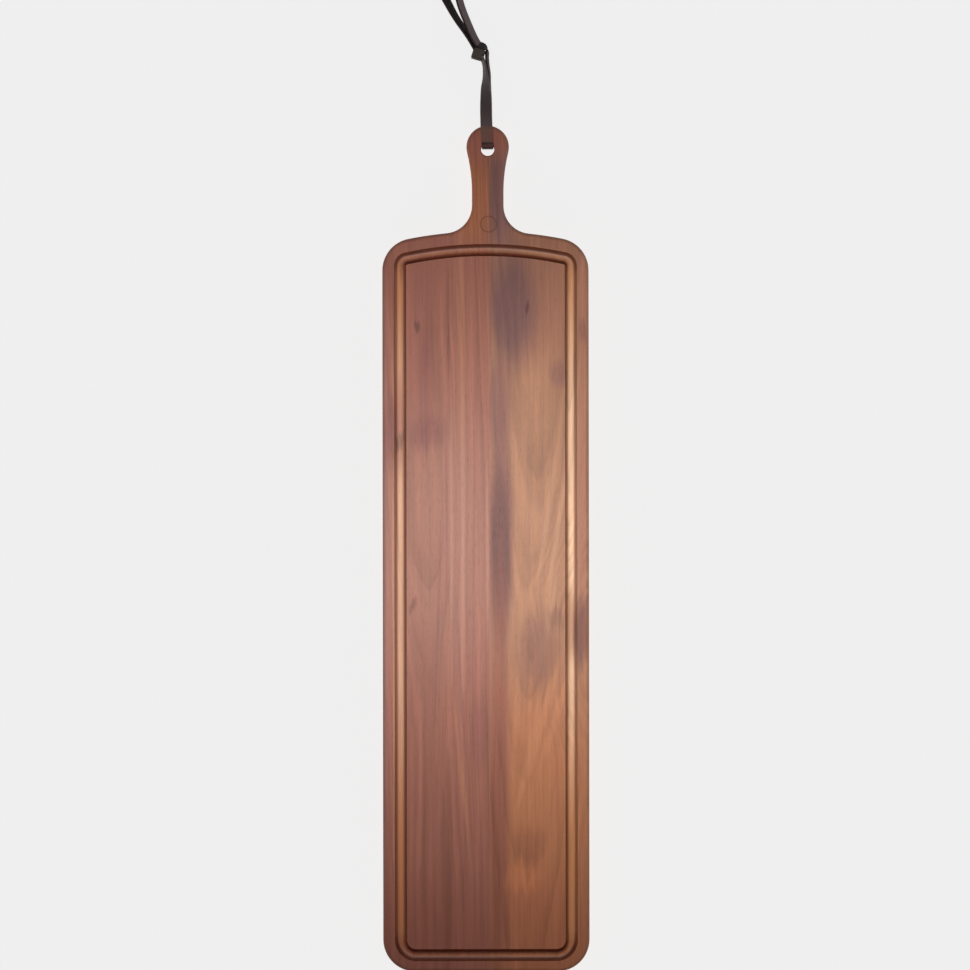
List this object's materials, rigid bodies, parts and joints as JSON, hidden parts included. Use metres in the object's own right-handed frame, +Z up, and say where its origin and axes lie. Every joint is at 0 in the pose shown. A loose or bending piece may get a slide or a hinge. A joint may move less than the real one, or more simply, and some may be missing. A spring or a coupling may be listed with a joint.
{
  "type": "bread board",
  "caption": "Long wooden bread board with a rounded handle, a juice groove round the face and a knotted leather lace through the hanging hole.",
  "frame": {"origin": "Middle of the underside, at the level of the table, measured on the board without its lace.", "axes": "+Z up out of the face with the juice groove, +Y along the board towards the handle, +X across the board to the right, seen with the handle away from the viewer."},
  "size_m": [0.17, 0.82, 0.0201],
  "materials": {
    "walnut_left": "oiled reddish-brown walnut, soft sheen",
    "walnut_right": "oiled golden-brown walnut, soft sheen",
    "lace_leather": "flat dark brown leather lace, matt with burnished edges"
  },
  "bodies": {
    "board": {"left_plank": "walnut_left", "right_plank": "walnut_right"},
    "lace": {"lace_loop": "lace_leather", "lace_knot": "lace_leather", "left_tail": "lace_leather", "right_tail": "lace_leather"}
  },
  "joints": [
    {"name": "lace_swing", "type": "hinge", "parent": "board", "child": "lace", "pos_m": [0.002, 0.329, 0], "axis": [0, 0, 1], "range_deg": [-100, 100]}
  ]
}
